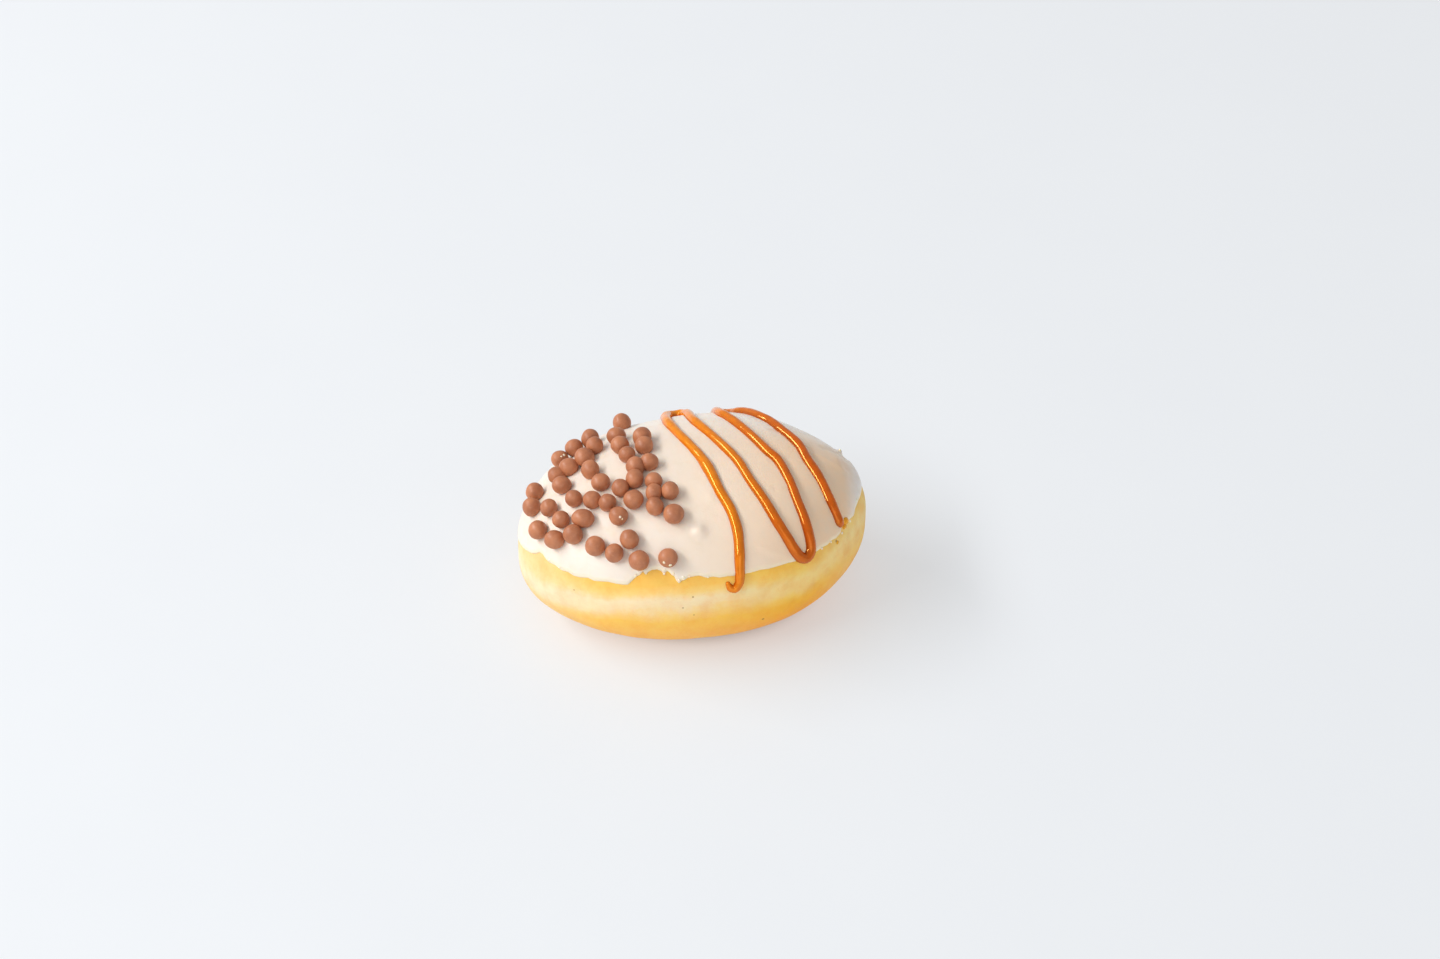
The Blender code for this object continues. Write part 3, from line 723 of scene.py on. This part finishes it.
def icing_piece(material):
    """The icing: a rounded edge that stands proud of the dough, and a soft uneven top."""
    turn = np.linspace(-pi, pi, ICING_AROUND, endpoint=False)[:, None]
    edge = edge_rise(turn)
    roll = ICING_ROLL / CROWN_ABOVE_WAIST
    bend = np.linspace(0, radians(90), ROLL_ROWS)[None]
    rolled = edge + roll * (1 - np.cos(bend))
    start = edge + roll
    # The rows lie a little closer together near the edge than at the crown
    top = start + (radians(90) - start) * (np.linspace(0, 1, ICING_ROWS)[None, 1:] ** 1.15)
    under = start + (radians(90) - start) * np.linspace(1, 0, INSIDE_ROWS)[None, :-1]
    rise = np.hstack([under, rolled, top])
    turn = np.broadcast_to(turn, rise.shape)
    roll_from = under.shape[1]
    roll_to = roll_from + ROLL_ROWS
    lift = np.full(rise.shape, -ICING_INSIDE)
    lift[:, roll_from:] = ICING_PROUD
    lift[:, roll_from:roll_to] = -ROLL_START + (ICING_PROUD + ROLL_START) * np.sin(bend)
    outer = np.zeros(rise.shape)
    outer[:, roll_from:] = smooth_step((rise[:, roll_from:] - edge) / (RELIEF_ROLLS * roll))
    lift = lift + icing_relief(surface(turn, rise)) * outer
    sag = ICING_SAG * np.exp(-((rise - edge) / (SAG_ROLLS * roll)) ** 2)
    lift[:, roll_to:] += sag[:, roll_to:]
    made = round_body("icing_coat", lifted(turn, rise, lift))
    write_grid(made, "from_edge", np.maximum(rise - edge, 0) * CROWN_ABOVE_WAIST / MM)
    finish_piece(made, material, "icing")
    return made


def ball(segments, rings):
    """Points and faces of a ball of radius 1."""
    bpy.ops.mesh.primitive_uv_sphere_add(segments=segments, ring_count=rings, radius=1)
    pattern = bpy.context.object
    points = np.array([vertex.co[:] for vertex in pattern.data.vertices])
    faces = [tuple(face.vertices) for face in pattern.data.polygons]
    bpy.data.objects.remove(pattern)
    return points, faces


def joined(name, bodies, faces):
    """One object out of bodies that share the same faces."""
    corners = [tuple(corner + number * len(body) for corner in face)
               for number, body in enumerate(bodies) for face in faces]
    return smooth_object(name, np.vstack(bodies), corners)


def pearl_piece(material):
    """All chocolate pearls in one piece, each a little out of round."""
    tree = lifted_tree(PEARL_RADIUS * (1 - PEARL_SINK))
    pattern, faces = ball(PEARL_SEGMENTS, PEARL_RINGS)
    rng = np.random.default_rng(PEARL_SEED)
    bodies = []
    for number, (across, down, size) in enumerate(PEARL_PIXELS):
        centre, _ = place((across, down), tree)
        radius = size / FOCAL_PIXELS * (EYE - centre).length
        squash = 1 + rng.uniform(-PEARL_SQUASH, PEARL_SQUASH, 3)
        uneven = 1 + lumps(pattern, PEARL_LUMPS, number)
        body = pattern * squash * uneven[:, None] * radius
        wide, high = PEARL_STRETCH.get(number, (1, 1))
        body[:, 0] *= wide
        body += np.outer(body @ np.array(PICTURE_UP), PICTURE_UP) * (high - 1)
        bodies.append(np.array(centre) + body)
    made = joined("pearls", bodies, faces)
    finish_piece(made, material, "icing")
    return made


def tree_of(made):
    """Search tree of an object's faces."""
    mesh = made.data
    corners = [tuple(face.vertices) for face in mesh.polygons]
    return BVHTree.FromPolygons([vertex.co[:] for vertex in mesh.vertices], corners)


def drops_piece(name, drops, trees, material):
    """Small flattened drops, half sunk in whatever their sight lines meet first."""
    pattern, faces = ball(DROP_SEGMENTS, DROP_RINGS)
    bodies = []
    for number, (across, down, radius, height) in enumerate(drops):
        hits = [tree.ray_cast(EYE, sight_line((across, down))) for tree in trees]
        hits = [hit for hit in hits if hit[0] is not None]
        if not hits:
            continue
        spot, normal, _, _ = min(hits, key=lambda hit: hit[3])
        uneven = 1 + lumps(pattern, DROP_LUMPS, number)
        body = pattern * uneven[:, None] * radius
        upright = np.array(normal)
        body += np.outer(body @ upright, upright) * (height - 1)
        bodies.append(np.array(spot) + body)
    made = joined(name, bodies, faces)
    write_values(made, "crown", np.full(len(made.data.vertices), DROP_CROWN))
    finish_piece(made, material, "icing")


def smooth_line(points, step):
    """Evenly spaced points along a smooth curve through the given points, and how many of the
    given points lie before each."""
    knots = np.array([2 * points[0] - points[1], *points, 2 * points[-1] - points[-2]])
    share = np.linspace(0, 1, CURVE_POINTS, endpoint=False)[:, None]
    dense = []
    for before, start, end, after in zip(knots, knots[1:], knots[2:], knots[3:]):
        bend = 2 * before - 5 * start + 4 * end - after
        twist = 3 * start - before - 3 * end + after
        dense.extend((2 * start + (end - before) * share + bend * share**2 + twist * share**3) / 2)
    dense = np.array([*dense, points[-1]])
    passed = np.linspace(0, len(points) - 1, len(dense))
    run = np.concatenate([[0], np.cumsum(np.linalg.norm(np.diff(dense, axis=0), axis=1))])
    at = np.linspace(0, run[-1], int(run[-1] / step))
    line = np.stack([np.interp(at, run, dense[:, axis]) for axis in range(3)], -1)
    return line, np.interp(at, run, passed)


def caramel_route():
    """Middle of the caramel line, with the ways up, ahead and to the side and its size there."""
    tree = lifted_tree(CARAMEL_SEEN_AT)
    knots = [np.array(place(spot[:2], tree, spot[2] * MM)[0]) for spot in CARAMEL_PIXELS]
    route, passed = smooth_line(knots, CARAMEL_STEP)
    angles = np.array([angles_of(spot) for spot in route])
    up = normals(angles[:, 0], angles[:, 1])
    route = route + up * (CARAMEL_LIFT - CARAMEL_SEEN_AT)
    ahead = np.gradient(route, axis=0)
    ahead /= np.linalg.norm(ahead, axis=1, keepdims=True)
    side = np.cross(ahead, up)
    side /= np.linalg.norm(side, axis=1, keepdims=True)
    taper = np.interp(passed, *zip(*CARAMEL_TAPER))
    swell = taper * (1 + lumps(route, CARAMEL_LUMPS, 5))
    return route, up, ahead, side, swell


def caramel_piece(material):
    """The caramel line: a bead with a rounded top that lies half sunk in the icing."""
    route, up, ahead, side, swell = caramel_route()
    turn = np.linspace(0, 2 * pi, CARAMEL_SIDES, endpoint=False)
    high = np.where(np.sin(turn) > 0, CARAMEL_TOP, CARAMEL_BOTTOM) * np.sin(turn)
    wide = CARAMEL_HALF_WIDTH * np.cos(turn)
    rings = route[:, None] + swell[:, None, None] * (
        side[:, None] * wide[None, :, None] + up[:, None] * high[None, :, None]
    )
    bends = np.linspace(pi / 2, 0, CARAMEL_TIP_RINGS, endpoint=False)[:, None, None]
    tip = CARAMEL_TOP * swell[:, None] * ahead
    start = rings[0] + (route[0] - rings[0]) * (1 - np.cos(bends)) - tip[0] * np.sin(bends)
    end = rings[-1] + (route[-1] - rings[-1]) * (1 - np.cos(bends)) + tip[-1] * np.sin(bends)
    tube = np.concatenate([start, rings, end[::-1]])
    made = round_body("caramel_line", tube.transpose(1, 0, 2))
    crown = np.broadcast_to(np.clip(np.sin(turn), 0, 1)[:, None], tube.shape[1::-1])
    write_grid(made, "crown", crown)
    finish_piece(made, material, "icing")


def soft_lamp(name, spot, width, height, power, colour):
    """A soft lamp that points at the doughnut."""
    lamp = bpy.data.lights.new(name, "AREA")
    lamp.shape = "RECTANGLE"
    lamp.size = width
    lamp.size_y = height
    lamp.energy = power
    lamp.color = colour
    made = bpy.data.objects.new(name, lamp)
    made.location = spot
    towards_bun = Vector((0, 0, WAIST_HEIGHT)) - Vector(spot)
    made.rotation_euler = towards_bun.to_track_quat("-Z", "Y").to_euler()
    bpy.context.scene.collection.objects.link(made)


def floor_piece():
    """The plain floor, which isn't part of the doughnut."""
    bpy.ops.mesh.primitive_plane_add(size=FLOOR_SIZE, location=(0, 0, 0))
    floor = bpy.context.object
    floor.name = "floor"
    floor.data.materials.append(floor_material())


def sky():
    """Even light from all round, and colours shown as they are."""
    world = bpy.data.worlds.new("studio")
    bpy.context.scene.world = world
    world.use_nodes = True
    background = world.node_tree.nodes["Background"]
    background.inputs["Color"].default_value = SKY_COLOUR
    background.inputs["Strength"].default_value = SKY_STRENGTH
    bpy.context.scene.view_settings.view_transform = "Standard"


def photo_camera():
    """The camera at the photograph's viewpoint."""
    lens = bpy.data.cameras.new("camera")
    lens.sensor_width = SENSOR_WIDTH
    lens.lens = FOCAL_PIXELS / PICTURE_SIZE[0] * SENSOR_WIDTH
    camera = bpy.data.objects.new("camera", lens)
    camera.location = EYE
    camera.rotation_euler = (radians(90) - PITCH, 0, 0)
    bpy.context.scene.collection.objects.link(camera)
    bpy.context.scene.camera = camera


dough_skin = dough_piece()
icing_coat = icing_piece(icing_material())
pearls = pearl_piece(chocolate_material())
caramel_piece(caramel_material("caramel", *CARAMEL_COLOURS))
carriers = [tree_of(piece) for piece in (dough_skin, icing_coat, pearls)]
drops_piece("glaze_drops", GLAZE_DROPS, carriers, glaze_material())
thin_caramel = caramel_material("thin_caramel", *THIN_CARAMEL_COLOURS)
drops_piece("caramel_drops", CARAMEL_DROPS, carriers, thin_caramel)
floor_piece()
for lamp_name, settings in LAMPS.items():
    soft_lamp(lamp_name, *settings)
sky()
photo_camera()
